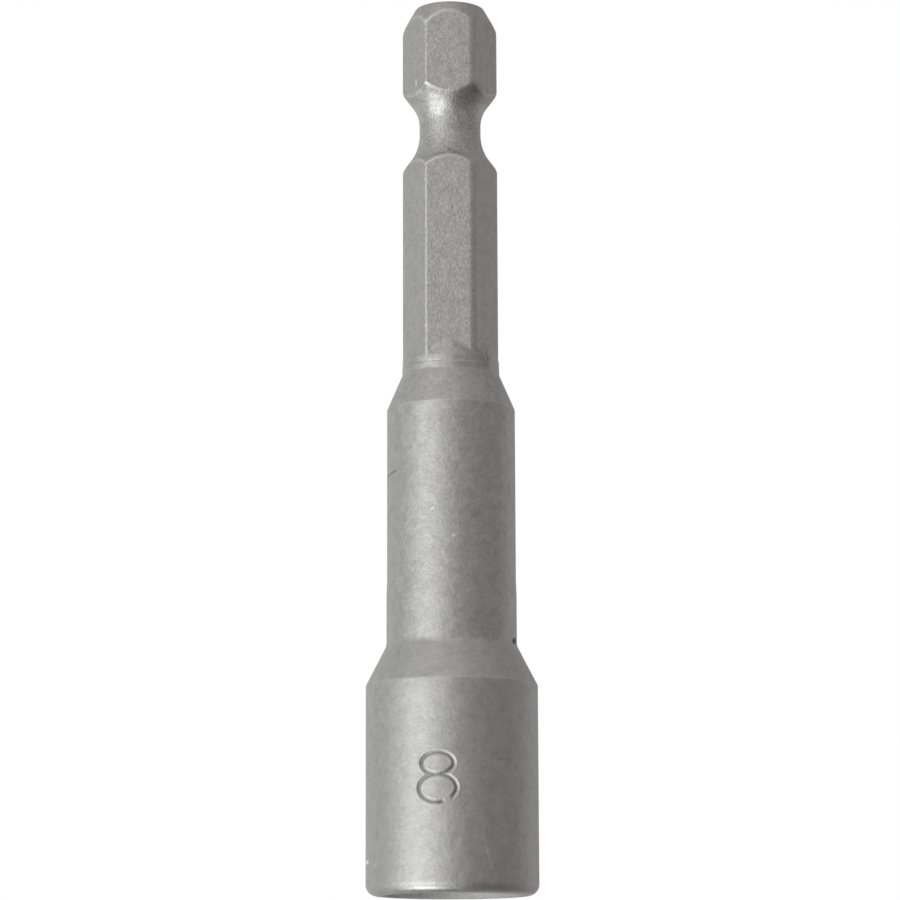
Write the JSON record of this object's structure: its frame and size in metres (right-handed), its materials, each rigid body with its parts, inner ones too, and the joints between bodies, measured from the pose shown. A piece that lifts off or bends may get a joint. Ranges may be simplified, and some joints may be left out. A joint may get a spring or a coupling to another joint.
{
  "type": "magnetic nut setter",
  "caption": "Drill tip for driving nuts and hex-head screws: hexagonal shank with a ball groove, round body, and a hexagonal socket with a magnet in its floor.",
  "frame": {"origin": "centre of the socket's mouth face, on the tool's axis; the tool stands on its mouth, as in the picture", "axes": "+Z along the axis from the mouth to the end of the shank; -Y is the front, square to a flat of the shank and to a flat of the recess, with the stamped number just to its left; +X is to the right of the front"},
  "size_m": [0.0126, 0.0126, 0.066],
  "materials": {
    "blasted_steel": "bead-blasted, satin nickel grey",
    "sleeve_brass": "turned, slightly dulled",
    "magnet_plating": "satin nickel plating"
  },
  "bodies": {
    "root": {"driver_body": "blasted_steel", "magnet_sleeve": "sleeve_brass", "magnet": "magnet_plating"}
  },
  "joints": []
}
